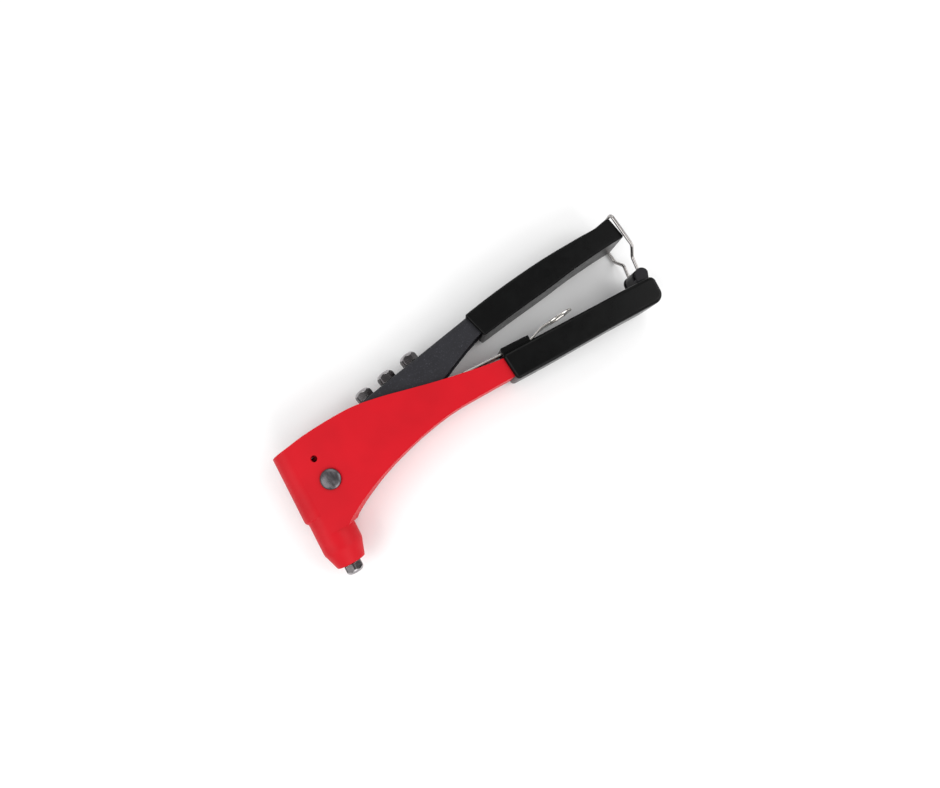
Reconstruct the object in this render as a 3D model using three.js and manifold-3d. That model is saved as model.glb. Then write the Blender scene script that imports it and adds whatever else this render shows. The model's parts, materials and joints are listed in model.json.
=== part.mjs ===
// Hand riveter (blind rivet pliers), lying flat on its side.
//
// Millimetres. The tool is designed round its pivot pin: x runs back along the
// handles, y runs up from the nosepiece towards the upper handle, and z runs
// along the pin, from the far side to the near side. At the end the whole tool
// is moved so that its origin is the middle of its footprint, on the surface.

import * as THREE from 'three';
import Module from 'manifold-3d';
import { mergeVertices } from 'three/addons/utils/BufferGeometryUtils.js';

const wasm = await Module();
wasm.setup();

// ---------------------------------------------------------------- dimensions

const GAP = 0.3;                 // clearance between pieces that touch
const SLIDE = 0.4;               // clearance between pieces that slide
const OVERRUN = 5;               // how far a cut or a rib runs past a face
const FAR = 60;                  // well outside the tool, for cutting solids
const THROUGH = 20;              // half length of a drill that goes right through
const ROUND = 32;                // sides of a large round
const FINE = 20;                 // sides of a small round

// body: one sheet, folded round the barrel and along its lower edge
const SHEET = 2;
const BODY_HALF = 13;            // half width over the side plates
const FOLD_X = -17.4;            // axis of the front fold
const FOLD_LOW = -17.5;          // where the fold starts to close in on the barrel
const BARREL_X = -15.6;          // axis of the barrel, and of the mandrel
const BARREL_R = 13;
const FOLD_END = -19.5;
const TAPER_TOP = -41;
const NOSE_Y = -52.6;
const NOSE_R = 9.6;
const NOSE_WALL = 3.5;
const BUSH_SEAT = -46;
const BUSH_HOLE_R = 7.2;
const BUSH_FLANGE = 2.5;
const BARREL_TOP = [-2.7, -30];  // inner corner between barrel and handle
const TAIL_END = 221;
const SIGHT_HOLE = [-3.8, 15.7];
const SIGHT_HOLE_R = 2.15;

// pivot
const PIN_R = 4;
const PIN_HEAD_R = 6.6;
const PIN_HEAD_RISE = 2.3;
const REST_Z = -16;              // the lowest level of the tool
const EYE_R = PIN_R + GAP;
const BUSH_R = 5.6;
const WASHER_R = 6.4;
const WASHER_FAR = -14.3;
const RING_PIN_R = 5.8;
const RING_PIN = [-15.5, -14.6]; // the retaining ring, between two heights

// lever: a channel with its web on top, and two cams at its front end
const LEVER_HALF = 10.5;
const CHEEK = 2.5;
const CAM_BASE_R = -BARREL_X;    // the involute's base circle
const CAM_LIFT = 11;             // height of the cam's contact point at rest
const CAM_SWEEP = [-0.03, 0.62]; // radians of cam that are used
const CAM_STEP = 0.065;
const LEVER_EDGE = [46.2, 36.1]; // a point on the straight top edge
const LEVER_TILT = THREE.MathUtils.degToRad(12.1);
const WEB_FRONT = 18;            // the web stops here, behind the jaw case
const EDGE_FRONT = 20;           // the straight top edge starts here
const LEVER_END = 214;

// nosepieces
const HEX_ACROSS = 11;
const HEX_HEIGHT = 6.8;
const CROWN_R = 5.95;            // the round bar that the hexagon is cut from
const CROWN_CHAMFER = [2, 2.3];  // in radius and in height
const CROWN_FOOT = 0.7;          // chamfer round the hexagon's lower end
const STEM_R = 4.9;
const STEM_LENGTH = 15.6;
const TIP_R = 2.6;
const TIP_LENGTH = 4;            // the stem's tapered end
const FITTED_BORE_R = 1.7;
const SPARE_FEET = [40.2, 57.8, 75.8];
const SPARE_BORES = [1.35, 2.1, 2.5];
const SPARE_TWISTS = [21, 26, 22];
const SPARE_BOSS_R = 5.9;
const SPARE_BOSS = [-8, -0.5];   // the threaded boss under the web, between two heights

// jaw case and what it holds
const CASE_R = 7.2;
const CASE_BORE_R = 5.6;
const CASE_FRONT = -29;
const CASE_HOLE_R = 3.3;
const CONE_FRONT = -28.5;
const CONE_SLOPE = 0.19;
const JAW_FRONT = -28.2;
const JAW_BACK = -19;
const JAW_SPLIT = 0.7;
const PUSHER_BACK = -10;
const COLLAR_Y = CAM_LIFT + GAP;
const COLLAR_R = 10.3;
const COLLAR_THICK = 3;
const COLLAR_FLAT = 7.5;         // the collar's rear is cut flat, clear of the opening spring
const CASE_TOP = 17;
const PLUG_FRONT = 9;
const MANDREL_R = 2.6;
const JAW_BORE_R = 0.9;
const PUSHER_MOUTH_R = 1.6;
const CAP_R = CASE_R - 0.7;
const CAP_TOP = CASE_TOP + 2;
const SEAT = [24.5, 26];         // the spring seat, between two heights

// grips
const UPPER_GRIP_HALF = 13.5;
const LOWER_GRIP_HALF = 16;
const GRIP_EDGE = 2.2;
const POCKET_FRONT = 110;        // the tails' pockets start here, in front of both grips

// latch
const LATCH_PIVOT = [227.5, 26.5];
const LUG_R = 4.3;
const LUG_HALF = 9.8;
const LUG_FOOT = 22.9;
const LUG_FLOOR = 1.4;           // from the wire's axis down to the slots' floor
const WIRE_R = 1;
const WIRE_BORE_R = WIRE_R + 0.35;
const WIRE_BEND = 2.4;
const LEG_IN = 7.5;
const LEG_OUT = 15;

// wrench
const WRENCH_LOW = 21.1;         // underside of the flat strip
const WRENCH_THICK = 1.5;
const WRENCH_HALF = 6;
const WRENCH_FRONT = 97;
const WRENCH_RISE = [[149.6, 0], [158, 3.6], [182.3, 6.2]]; // rise of the strip, then of the ring
const RING_X = 172;
const RING_R = 9.8;
const RING_HEX = 11.4;
const HOLDER = [128.5, 148];
const HOLDER_TOP = 24.9;
const HOLDER_HALF = 10;
const HOLDER_CHAMFER = 1;
const GROOVE_END = 192;          // the groove lets the strip slide out to here

// springs
const SPRING_R = 7;              // the opening spring's coils
const SPRING_WIRE_R = 0.7;
const SPRING_HALF = 4;
const SPRING_TURNS = 5;
const UPPER_LEG = [131, 32.5];     // degrees at which the leg leaves, and its length
const LOWER_LEG = [-100, 24];

// ---------------------------------------------------------------- materials

const finish = (color, roughness, metalness) => ({ color, roughness, metalness });
const RED = finish(0xc81420, 0.42, 0);
const BLACK = finish(0x131313, 0.55, 0);
const COATED = finish(0x37363a, 0.6, 0.2);
const GUNMETAL = finish(0x4b494e, 0.35, 0.85);
const BRIGHT = finish(0xc4c3bf, 0.28, 1);
const STEEL = finish(0x8c8d90, 0.4, 0.9);
const LUG = finish(0x23212a, 0.45, 0);

// ------------------------------------------------------------------ helpers

// A closed three.js geometry as a solid, with its faces pointing out.
function solid(geometry) {
  geometry.deleteAttribute('normal');
  geometry.deleteAttribute('uv');
  const merged = mergeVertices(geometry, 1e-4);
  const place = merged.attributes.position;
  const index = merged.index.array;
  const corners = [new THREE.Vector3(), new THREE.Vector3(), new THREE.Vector3()];
  const kept = [];
  let volume = 0;
  for (let i = 0; i < index.length; i += 3) {
    const [a, b, c] = index.slice(i, i + 3);
    if (a === b || b === c || c === a) continue;
    [a, b, c].forEach((at, n) => corners[n].fromBufferAttribute(place, at));
    volume += corners[0].dot(corners[1].clone().cross(corners[2]));
    kept.push(a, b, c);
  }
  if (volume < 0) kept.reverse();
  return new wasm.Manifold(new wasm.Mesh({
    numProp: 3,
    vertProperties: new Float32Array(place.array),
    triVerts: new Uint32Array(kept),
  }));
}

// A solid as a named three.js mesh with a material of its own.
function piece(name, body, look) {
  const { vertProperties, triVerts } = body.getMesh();
  const geometry = new THREE.BufferGeometry();
  geometry.setAttribute('position', new THREE.BufferAttribute(new Float32Array(vertProperties), 3));
  geometry.setIndex(new THREE.BufferAttribute(new Uint32Array(triVerts), 1));
  geometry.computeVertexNormals();
  const mesh = new THREE.Mesh(geometry, new THREE.MeshStandardMaterial({ ...look, name }));
  mesh.name = name;
  return mesh;
}

const point = ([x, y]) => new THREE.Vector2(x, y);

// A smooth line through a few points.
const smooth = (points, divisions) => new THREE.SplineCurve(points.map(point)).getPoints(divisions);

// A round stretch of an outline, from one angle to another, in radians.
function arc([x, y], radius, from, to, divisions) {
  return new THREE.EllipseCurve(x, y, radius, radius, from, to, to < from).getPoints(divisions);
}

// An outline in x and y, given thickness along z.
function plate(outline, low, high) {
  const shape = new THREE.Shape(outline);
  const geometry = new THREE.ExtrudeGeometry(shape, { depth: high - low, bevelEnabled: false });
  return solid(geometry.translate(0, 0, low));
}

// The same with rounded long edges, as a moulding has.
function moulded(outline, half, edge) {
  const geometry = new THREE.ExtrudeGeometry(new THREE.Shape(outline), {
    depth: 2 * (half - edge),
    bevelThickness: edge,
    bevelSize: edge,
    bevelOffset: -edge,
    bevelSegments: 3,
  });
  return solid(geometry.translate(0, 0, edge - half));
}

// An outline in x and z, given thickness along y.
function slab(outline, low, high) {
  const shape = new THREE.Shape(outline);
  const geometry = new THREE.ExtrudeGeometry(shape, { depth: high - low, bevelEnabled: false });
  return solid(geometry.rotateX(Math.PI / 2).translate(0, high, 0));
}

// A profile of [radius, height] points turned round the y axis.
function turned(profile, sides = ROUND) {
  return solid(new THREE.LatheGeometry(profile.map(point), sides));
}

// The same, round the z axis.
function turnedOnPin(profile, sides = FINE) {
  return solid(new THREE.LatheGeometry(profile.map(point), sides).rotateX(Math.PI / 2));
}

// A closed profile of a tube between two heights.
const sleeve = (inner, outer, low, high) =>
  [[inner, low], [outer, low], [outer, high], [inner, high], [inner, low]];

// A closed profile of a rod between two heights.
const rod = (radius, low, high) => [[0, low], [radius, low], [radius, high], [0, high]];

// A round wire along a curve.
function wire(curve, radius, sides, steps) {
  const section = new THREE.Shape(arc([0, 0], radius, 0, 2 * Math.PI, sides).slice(0, -1));
  return solid(new THREE.ExtrudeGeometry(section, { steps, bevelEnabled: false, extrudePath: curve }));
}

// Straight runs between points, with a bend of the given size at each corner.
function bentPath(points, bend) {
  const path = new THREE.CurvePath();
  const at = points.map(([x, y, z]) => new THREE.Vector3(x, y, z));
  let start = at[0];
  for (let i = 1; i < at.length - 1; i += 1) {
    const before = at[i].clone().lerp(at[i - 1], bend / at[i].distanceTo(at[i - 1]));
    const after = at[i].clone().lerp(at[i + 1], bend / at[i].distanceTo(at[i + 1]));
    path.add(new THREE.LineCurve3(start, before));
    path.add(new THREE.QuadraticBezierCurve3(before, at[i], after));
    start = after;
  }
  path.add(new THREE.LineCurve3(start, at[at.length - 1]));
  return path;
}

// A helix round z, from one height and angle to another.
class Helix extends THREE.Curve {
  constructor(radius, low, high, from, to) {
    super();
    Object.assign(this, { radius, low, high, from, to });
  }

  getPoint(t, target = new THREE.Vector3()) {
    const angle = this.from + (this.to - this.from) * t;
    const height = this.low + (this.high - this.low) * t;
    return target.set(this.radius * Math.cos(angle), this.radius * Math.sin(angle), height);
  }
}

// A compression spring standing on the barrel axis, between two heights.
function coil(radius, wireR, turns, low, high) {
  const curve = new Helix(radius, low + wireR, high - wireR, 0, 2 * Math.PI * turns);
  const spring = wire(curve, wireR, 6, Math.round(14 * turns));
  return spring.rotate([-90, 0, 0]).translate([BARREL_X, 0, 0]);
}

const onBarrel = (body) => body.translate([BARREL_X, 0, 0]);

// --------------------------------------------------------------------- body

const TOP_EDGE = [[-31, 27], [-18, 28.7], [0, 31.8], [28, 33.7], [48, 31.5],
  [66, 27.9], [84, 24.3], [102, 21.4], [124, 18.6], [150, 17.8], [TAIL_END, 19.2]];
const LOWER_EDGE = [[0, -27.6], [12.5, -20.2], [32, -11.2], [58, -2.7],
  [84, 2.8], [110, 4.6], [150, 6.2], [TAIL_END, 9.4]];

// The side plates' outline, or the hollow between them when the sheet is taken off.
function handleOutline(inset, topEdge) {
  const lower = smooth(LOWER_EDGE, 22).reverse();
  lower.forEach((at) => { at.y += inset; });
  const floor = BARREL_TOP[1] + inset / 2;
  return [...topEdge, ...lower, point([BARREL_TOP[0] - inset, floor]), point([BARREL_X, floor])];
}

// The fold's half round front, closing in on the barrel at its lower end.
function foldRound(inset) {
  const radius = BARREL_R - inset;
  const tucked = radius - (BARREL_X - FOLD_X);
  const profile = [[0, FOLD_END], [tucked, FOLD_END], [radius, FOLD_LOW], [radius, FAR], [0, FAR]];
  return turned(profile).translate([FOLD_X, 0, 0]);
}

// The two side plates with what is between them, open at the top.
function sidesSolid(inset, rear) {
  const outline = [point([FOLD_X, FAR]), ...handleOutline(inset, [point([rear, FAR])])];
  return plate(outline, inset - BODY_HALF, BODY_HALF - inset);
}

function bodyShell() {
  const top = smooth(TOP_EDGE, 34);
  const belowTop = plate([...top, point([TAIL_END, -FAR]), point([TOP_EDGE[0][0], -FAR])],
    -THROUGH, THROUGH);
  const nose = [[0, NOSE_Y], [NOSE_R - 1, NOSE_Y], [NOSE_R, NOSE_Y + 1],
    [BARREL_R - 1, TAPER_TOP - 3], [BARREL_R, TAPER_TOP], [BARREL_R, FOLD_LOW], [0, FOLD_LOW]];
  const bore = [[0, NOSE_Y - 1], [BUSH_HOLE_R, NOSE_Y - 1], [BUSH_HOLE_R, BUSH_SEAT],
    [BARREL_R - NOSE_WALL, BUSH_SEAT], [BARREL_R - SHEET, TAPER_TOP], [BARREL_R - SHEET, 0], [0, 0]];
  const drill = (radius, sides) => turnedOnPin(rod(radius, -THROUGH, THROUGH), sides);
  return sidesSolid(0, TAIL_END)
    .add(foldRound(0))
    .intersect(belowTop)
    .add(onBarrel(turned(nose)))
    .subtract(sidesSolid(SHEET, TAIL_END + SHEET))
    .subtract(foldRound(SHEET))
    .subtract(onBarrel(turned(bore)))
    .subtract(drill(EYE_R, FINE))
    .subtract(drill(SIGHT_HOLE_R, 14).translate([...SIGHT_HOLE, 0]));
}

// The steel bush that the nosepiece screws into: a flanged sleeve.
function noseBush() {
  const outer = BUSH_HOLE_R - GAP;
  const flange = BARREL_R - NOSE_WALL - GAP;
  const inner = STEM_R + GAP;
  const top = BUSH_SEAT + BUSH_FLANGE;
  return onBarrel(turned([[inner, NOSE_Y], [outer, NOSE_Y], [outer, BUSH_SEAT + GAP],
    [flange, BUSH_SEAT + GAP], [flange, top], [inner, top], [inner, NOSE_Y]]));
}

// --------------------------------------------------------------- nosepieces

// A hexagonal bar standing on the y axis.
function hexBar(across, low, high) {
  const corners = new THREE.CylinderGeometry(across / Math.sqrt(3), across / Math.sqrt(3), high - low, 6);
  return solid(corners.rotateY(Math.PI / 6).translate(0, (low + high) / 2, 0));
}

// Hexagon up, threaded stem down, bored through for the mandrel.
function nosepiece(boreR) {
  const [inward, down] = CROWN_CHAMFER;
  const crown = [[0, 0], [CROWN_R - CROWN_FOOT, 0], [CROWN_R, CROWN_FOOT], [CROWN_R, HEX_HEIGHT - down],
    [CROWN_R - inward * 0.4, HEX_HEIGHT - down * 0.45], [CROWN_R - inward, HEX_HEIGHT], [0, HEX_HEIGHT]];
  const stem = [[0, 0.5], [STEM_R, 0.5], [STEM_R, TIP_LENGTH - STEM_LENGTH], [TIP_R, -STEM_LENGTH],
    [0, -STEM_LENGTH]];
  return hexBar(HEX_ACROSS, 0, HEX_HEIGHT)
    .intersect(turned(crown))
    .add(turned(stem, FINE))
    .subtract(turned(rod(boreR, -THROUGH, THROUGH), 12));
}

const fittedNosepiece = () =>
  nosepiece(FITTED_BORE_R).rotate([0, 0, 180]).translate([BARREL_X, NOSE_Y - GAP, 0]);

// A point on the lever's top edge, raised square to it.
function onLeverEdge(x, rise) {
  const y = LEVER_EDGE[1] + (x - LEVER_EDGE[0]) * Math.tan(LEVER_TILT);
  return [x - rise * Math.sin(LEVER_TILT), y + rise * Math.cos(LEVER_TILT), 0];
}

// Places a piece made round the y axis, square to the lever's top edge.
const onLever = (body, x, rise) =>
  body.rotate([0, 0, THREE.MathUtils.radToDeg(LEVER_TILT)]).translate(onLeverEdge(x, rise));

// -------------------------------------------------------------------- lever

// The cam's edge: an involute, so the jaw case rises in proportion to the angle.
function camEdge() {
  const edge = [];
  for (let back = CAM_SWEEP[0]; back <= CAM_SWEEP[1] + 1e-6; back += CAM_STEP) {
    const at = Math.PI - back;
    const reach = CAM_LIFT - CAM_BASE_R * back;
    edge.push(new THREE.Vector2(
      CAM_BASE_R * Math.cos(at) + reach * Math.sin(at),
      CAM_BASE_R * Math.sin(at) - reach * Math.cos(at),
    ));
  }
  return edge;
}

// Behind the cam a notch lets the jaw case's collar pass when the handles are open.
const CAM_NOTCH = [[-7.4, 6.8], [-5.6, 6.4], [-4.4, 8.4], [-1.5, 10.8], [3, 12]];
const CAM_FRONT = [[-7, -8], [-14, -1], [-18.4, 4], [-18.4, 9]];
const LEVER_TAIL_TOP = [[117.6, 51.4], [143, 54.7], [173, 58.4], [LEVER_END, 60.9]];
const LEVER_LOWER = [[LEVER_END, 53.4], [190, 50.4], [160, 45.5], [134, 41.2], [120, 38], [104, 31.2],
  [88, 23.5], [62, 11.5], [34, 0], [12, -8.4], [2, -10]];

// The two cheeks with the channel between them: no web in front, none on the underside.
function leverChannel() {
  const topEdge = [onLeverEdge(EDGE_FRONT, 0).slice(0, 2), ...LEVER_TAIL_TOP].map(point);
  const outline = [...camEdge(), ...CAM_NOTCH.map(point), ...topEdge, ...smooth(LEVER_LOWER, 26),
    ...smooth(CAM_FRONT, 8)];
  const ceiling = topEdge.map(({ x, y }) => point([x, y - CHEEK]));
  const hollow = [...[[-FAR, -FAR], [-FAR, FAR], [WEB_FRONT, FAR], [WEB_FRONT, ceiling[0].y]].map(point),
    ...ceiling.slice(1), point([LEVER_END + CHEEK, ceiling[ceiling.length - 1].y]),
    point([LEVER_END + CHEEK, -FAR])];
  const half = LEVER_HALF - CHEEK;
  return plate(outline, -LEVER_HALF, LEVER_HALF).subtract(plate(hollow, -half, half));
}

function lever() {
  let body = leverChannel();
  const boss = turned(rod(SPARE_BOSS_R, ...SPARE_BOSS), FINE);
  const hole = turned(rod(STEM_R + GAP, -1.5 * THROUGH, THROUGH), FINE);
  for (const foot of SPARE_FEET) body = body.add(onLever(boss, foot, 0));
  for (const foot of SPARE_FEET) body = body.subtract(onLever(hole, foot, 0));
  return body.subtract(turnedOnPin(rod(EYE_R, -THROUGH, THROUGH)));
}

// -------------------------------------------------------------------- grips

const UPPER_GRIP_TOP = [[118, 52.5], [143, 57.3], [173, 61.5], [203, 63.6], [223.8, 64.5]];
const UPPER_GRIP_LOWER = [[226.8, 51.6], [212, 50.3], [192, 47.6], [172, 44], [148, 40.2],
  [123.3, 35.9]];
const GRIP_LIP = [[212, 62.8], [215, 64.4], [219, 65.5], [221.4, 66.1], [222.9, 65], [223.4, 62.8]];
const LOWER_GRIP_TOP = [[127, 20.4], [224, 22.6]];
const LOWER_GRIP_LOWER = [[200, 5.3], [160, 3.4], [129, 2.4]];

// The room in a grip for a handle's tail: the tail's outline with a gap all round.
function tailPocket(upperEdge, lowerEdge, end, half) {
  const raise = (edge, rise) => edge
    .filter((at) => at.x > POCKET_FRONT)
    .map((at) => point([at.x > end - 1 ? at.x + GAP : at.x, at.y + rise]));
  return plate([...raise(upperEdge, GAP), ...raise(lowerEdge, -GAP)], -half - GAP, half + GAP);
}

// The upper grip, with a low lip at its rear end that the latch wire hooks behind.
function upperGrip() {
  const outline = [...smooth(UPPER_GRIP_TOP, 14), ...smooth(UPPER_GRIP_LOWER, 14)];
  const lipHalf = UPPER_GRIP_HALF - GRIP_EDGE / 2;
  return moulded(outline, UPPER_GRIP_HALF, GRIP_EDGE)
    .add(plate(GRIP_LIP.map(point), -lipHalf, lipHalf))
    .subtract(tailPocket(LEVER_TAIL_TOP.map(point), smooth(LEVER_LOWER, 26), LEVER_END, LEVER_HALF));
}

// The lower grip, with the ridge that holds the wrench and the groove it slides in.
function lowerGrip() {
  const rear = arc([227, 18.6], 4, Math.PI / 2, 0, 2);
  const heel = arc([225.2, 12], 6, 0, -Math.PI / 2, 3);
  const outline = [...LOWER_GRIP_TOP.map(point), ...rear, ...heel, ...smooth(LOWER_GRIP_LOWER, 6)];
  const [front, back] = HOLDER;
  const root = WRENCH_LOW - OVERRUN;
  const shoulder = HOLDER_TOP - HOLDER_CHAMFER;
  const ridge = [[front, root], [front, shoulder], [front + HOLDER_CHAMFER, HOLDER_TOP],
    [back - HOLDER_CHAMFER, HOLDER_TOP], [back, shoulder], [back, root]].map(point);
  const slotHalf = WRENCH_HALF + SLIDE;
  const floor = WRENCH_LOW - GAP;
  const ceiling = WRENCH_LOW + WRENCH_THICK + GAP;
  const slot = [[front - OVERRUN, floor], [GROOVE_END, floor], [GROOVE_END, ceiling],
    [front - OVERRUN, ceiling]].map(point);
  return moulded(outline, LOWER_GRIP_HALF, GRIP_EDGE)
    .add(plate(ridge, -HOLDER_HALF, HOLDER_HALF))
    .subtract(plate(slot, -slotHalf, slotHalf))
    .subtract(tailPocket(smooth(TOP_EDGE, 34), smooth(LOWER_EDGE, 22).reverse(), TAIL_END, BODY_HALF));
}

// -------------------------------------------------------------------- latch

// The raised eye at the rear of the lower grip, slotted for the wire's two legs.
function latchLug() {
  const [x, y] = LATCH_PIVOT;
  const outline = [point([x - LUG_R - 0.6, LUG_FOOT]), ...arc(LATCH_PIVOT, LUG_R, Math.PI, 0, 12),
    point([x + LUG_R - 1.2, LUG_FOOT])];
  const reach = 2 * LUG_R;
  const slot = [[x - reach, y - LUG_FLOOR], [x + reach, y - LUG_FLOOR], [x + reach, y + reach],
    [x - reach, y + reach]].map(point);
  const bore = turnedOnPin(rod(WIRE_BORE_R, -LEG_IN, LEG_IN), 12).translate([x, y, 0]);
  const slotAt = (middle) => plate(slot, middle - WIRE_BORE_R, middle + WIRE_BORE_R);
  return plate(outline, -LUG_HALF, LUG_HALF)
    .subtract(bore)
    .subtract(slotAt(-LEG_IN))
    .subtract(slotAt(LEG_IN));
}

// Each leg rises from its end in the eye, spreads to clear the grip, and meets the crossbar.
const LATCH_LEG = [[...LATCH_PIVOT, 2.5], [...LATCH_PIVOT, LEG_IN], [228.2, 39, LEG_IN],
  [227.6, 44.6, LEG_OUT], [224.3, 66.6, LEG_OUT]];

function latchWire() {
  const other = LATCH_LEG.map(([x, y, z]) => [x, y, -z]).reverse();
  return wire(bentPath([...LATCH_LEG, ...other], WIRE_BEND), WIRE_R, 8, 96);
}

// ------------------------------------------------------------------- wrench

// A strip with a double bend, and a ring with a hexagonal hole at its rear end.
function wrench() {
  const under = [[WRENCH_FRONT, 0], ...WRENCH_RISE].map(([x, rise]) => point([x, WRENCH_LOW + rise]));
  const over = under.map(({ x, y }) => point([x, y + WRENCH_THICK])).reverse();
  const side = [...under, ...over];
  const low = WRENCH_LOW - GAP;
  const high = over[0].y + GAP;
  const neck = Math.asin(WRENCH_HALF / RING_R);
  const front = [WRENCH_FRONT + WRENCH_HALF, 0];
  const plan = [...arc(front, WRENCH_HALF, Math.PI / 2, 1.5 * Math.PI, 10),
    ...arc([RING_X, 0], RING_R, neck - Math.PI, Math.PI - neck, 22)];
  return plate(side, -RING_R - GAP, RING_R + GAP)
    .intersect(slab(plan, low, high))
    .subtract(hexBar(RING_HEX, low, high).translate([RING_X, 0, 0]));
}

// ----------------------------------------------------- jaw case and contents

const coneR = (y) => CASE_HOLE_R + (y - CONE_FRONT) * CONE_SLOPE;

function jawCase() {
  const coneBack = CONE_FRONT + (CASE_BORE_R - CASE_HOLE_R) / CONE_SLOPE;
  const rear = BARREL_X + COLLAR_FLAT;
  const behind = plate([[rear, 0], [0, 0], [0, FAR], [rear, FAR]].map(point), -THROUGH, THROUGH);
  return onBarrel(turned([[CASE_HOLE_R, CASE_FRONT], [CASE_R - 1.2, CASE_FRONT],
    [CASE_R, CASE_FRONT + 2], [CASE_R, COLLAR_Y], [COLLAR_R, COLLAR_Y],
    [COLLAR_R, COLLAR_Y + COLLAR_THICK], [CASE_R, COLLAR_Y + COLLAR_THICK], [CASE_R, CASE_TOP],
    [CASE_BORE_R, CASE_TOP], [CASE_BORE_R, coneBack], [CASE_HOLE_R, CONE_FRONT],
    [CASE_HOLE_R, CASE_FRONT]])).subtract(behind);
}

// One of the two wedge jaws; side is -1 for the front one and 1 for the rear one.
function jaw(side) {
  const whole = turned([[JAW_BORE_R, JAW_FRONT], [coneR(JAW_FRONT) - GAP, JAW_FRONT],
    [coneR(JAW_BACK) - GAP, JAW_BACK], [JAW_BORE_R, JAW_BACK], [JAW_BORE_R, JAW_FRONT]], FINE);
  const middle = side * (CASE_R + JAW_SPLIT) / 2;
  const half = new THREE.BoxGeometry(CASE_R, 3 * CASE_R, 2 * CASE_R).translate(middle, JAW_FRONT, 0);
  return onBarrel(whole.intersect(solid(half)));
}

// The sleeve that the spring presses on the jaws: coned in front, hollow for the spring.
function jawPusher() {
  const outer = CASE_BORE_R - SLIDE;
  const front = JAW_BACK + GAP;
  return onBarrel(turned([[PUSHER_MOUTH_R, front], [outer - 1.2, front], [outer, JAW_BACK + 2],
    [outer, PUSHER_BACK], [MANDREL_R, PUSHER_BACK], [MANDREL_R, JAW_BACK + 3],
    [PUSHER_MOUTH_R, front]], FINE));
}

function caseCap() {
  const plug = CASE_BORE_R - GAP;
  const under = CASE_TOP + GAP;
  return onBarrel(turned([[MANDREL_R, PLUG_FRONT], [plug, PLUG_FRONT], [plug, under],
    [CAP_R, under], [CAP_R, CAP_TOP], [MANDREL_R, CAP_TOP], [MANDREL_R, PLUG_FRONT]], FINE));
}

// The disc across the top of the head that the return spring pushes against.
function springSeat() {
  const disc = turned(rod(BARREL_R - SHEET - SLIDE, ...SEAT)).translate([FOLD_X, 0, 0]);
  return disc.subtract(onBarrel(turned(rod(CASE_R, 0, FAR), FINE)));
}

// -------------------------------------------------------------------- pivot

// A plain pin with a broad domed head on the near side.
function pivotPin() {
  const under = BODY_HALF + GAP;
  const chamfer = PIN_R / 10;
  const brim = 0.35;
  const head = arc([0, 0], 1, brim, Math.PI / 2, 5)
    .map(({ x, y }) => [PIN_HEAD_R * x / Math.cos(brim), under + PIN_HEAD_RISE * y]);
  head[head.length - 1][0] = 0;
  return turnedOnPin([[0, REST_Z], [PIN_R - chamfer, REST_Z], [PIN_R, REST_Z + chamfer],
    [PIN_R, under], [PIN_HEAD_R, under], ...head], ROUND);
}

const pinSleeve = (outer, low, high) => turnedOnPin(sleeve(EYE_R, outer, low, high));

// The opening spring: coils round the bush, one leg under the web, one on the floor.
function handleSpring() {
  const from = THREE.MathUtils.degToRad(UPPER_LEG[0]);
  const to = THREE.MathUtils.degToRad(360 * SPRING_TURNS + LOWER_LEG[0]);
  const coils = new Helix(SPRING_R, -SPRING_HALF, SPRING_HALF, from, to);
  const start = coils.getPoint(0);
  const end = coils.getPoint(1);
  const leg = (angle, length, root) =>
    new THREE.Vector3(-Math.sin(angle), Math.cos(angle), 0).multiplyScalar(length).add(root);
  const path = new THREE.CurvePath();
  path.add(new THREE.LineCurve3(leg(from, -UPPER_LEG[1], start), start));
  path.add(coils);
  path.add(new THREE.LineCurve3(end, leg(to, LOWER_LEG[1], end)));
  return wire(path, SPRING_WIRE_R, 6, 100);
}

// ----------------------------------------------------------------- assembly

const tool = new THREE.Group();
tool.add(
  piece('body_shell', bodyShell(), RED),
  piece('nose_bush', noseBush(), STEEL),
  piece('nosepiece_fitted', fittedNosepiece(), GUNMETAL),
  piece('pivot_pin', pivotPin(), GUNMETAL),
  piece('pivot_bush', pinSleeve(BUSH_R, CHEEK + GAP - LEVER_HALF, LEVER_HALF - CHEEK - GAP), STEEL),
  piece('pin_washer', pinSleeve(WASHER_R, WASHER_FAR, -BODY_HALF - GAP), STEEL),
  piece('retaining_ring', pinSleeve(RING_PIN_R, ...RING_PIN), STEEL),
  piece('handle_spring', handleSpring(), STEEL),
  piece('lever', lever(), COATED),
  piece('upper_grip', upperGrip(), BLACK),
  piece('lower_grip', lowerGrip(), BLACK),
  piece('latch_lug', latchLug(), LUG),
  piece('latch_wire', latchWire(), BRIGHT),
  piece('wrench', wrench(), BRIGHT),
  piece('jaw_case', jawCase(), STEEL),
  piece('jaw_front', jaw(-1), STEEL),
  piece('jaw_rear', jaw(1), STEEL),
  piece('jaw_pusher', jawPusher(), STEEL),
  piece('jaw_spring', coil(4.2, 0.5, 8, PUSHER_BACK + GAP, PLUG_FRONT - GAP), STEEL),
  piece('case_cap', caseCap(), STEEL),
  piece('return_spring', coil(8.3, 0.6, 4, COLLAR_Y + COLLAR_THICK + GAP, SEAT[0] - GAP), STEEL),
  piece('spring_seat', springSeat(), STEEL),
);
SPARE_FEET.forEach((foot, n) => {
  const spare = onLever(nosepiece(SPARE_BORES[n]).rotate([0, SPARE_TWISTS[n], 0]), foot, GAP);
  tool.add(piece(`nosepiece_spare_${n + 1}`, spare, GUNMETAL));
});

// The origin goes to the middle of the footprint, on the surface.
const box = new THREE.Box3().setFromObject(tool);
tool.position.set(-(box.min.x + box.max.x) / 2, -(box.min.y + box.max.y) / 2, -box.min.z);

const part = new THREE.Group();
part.add(tool);

export default part;
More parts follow.
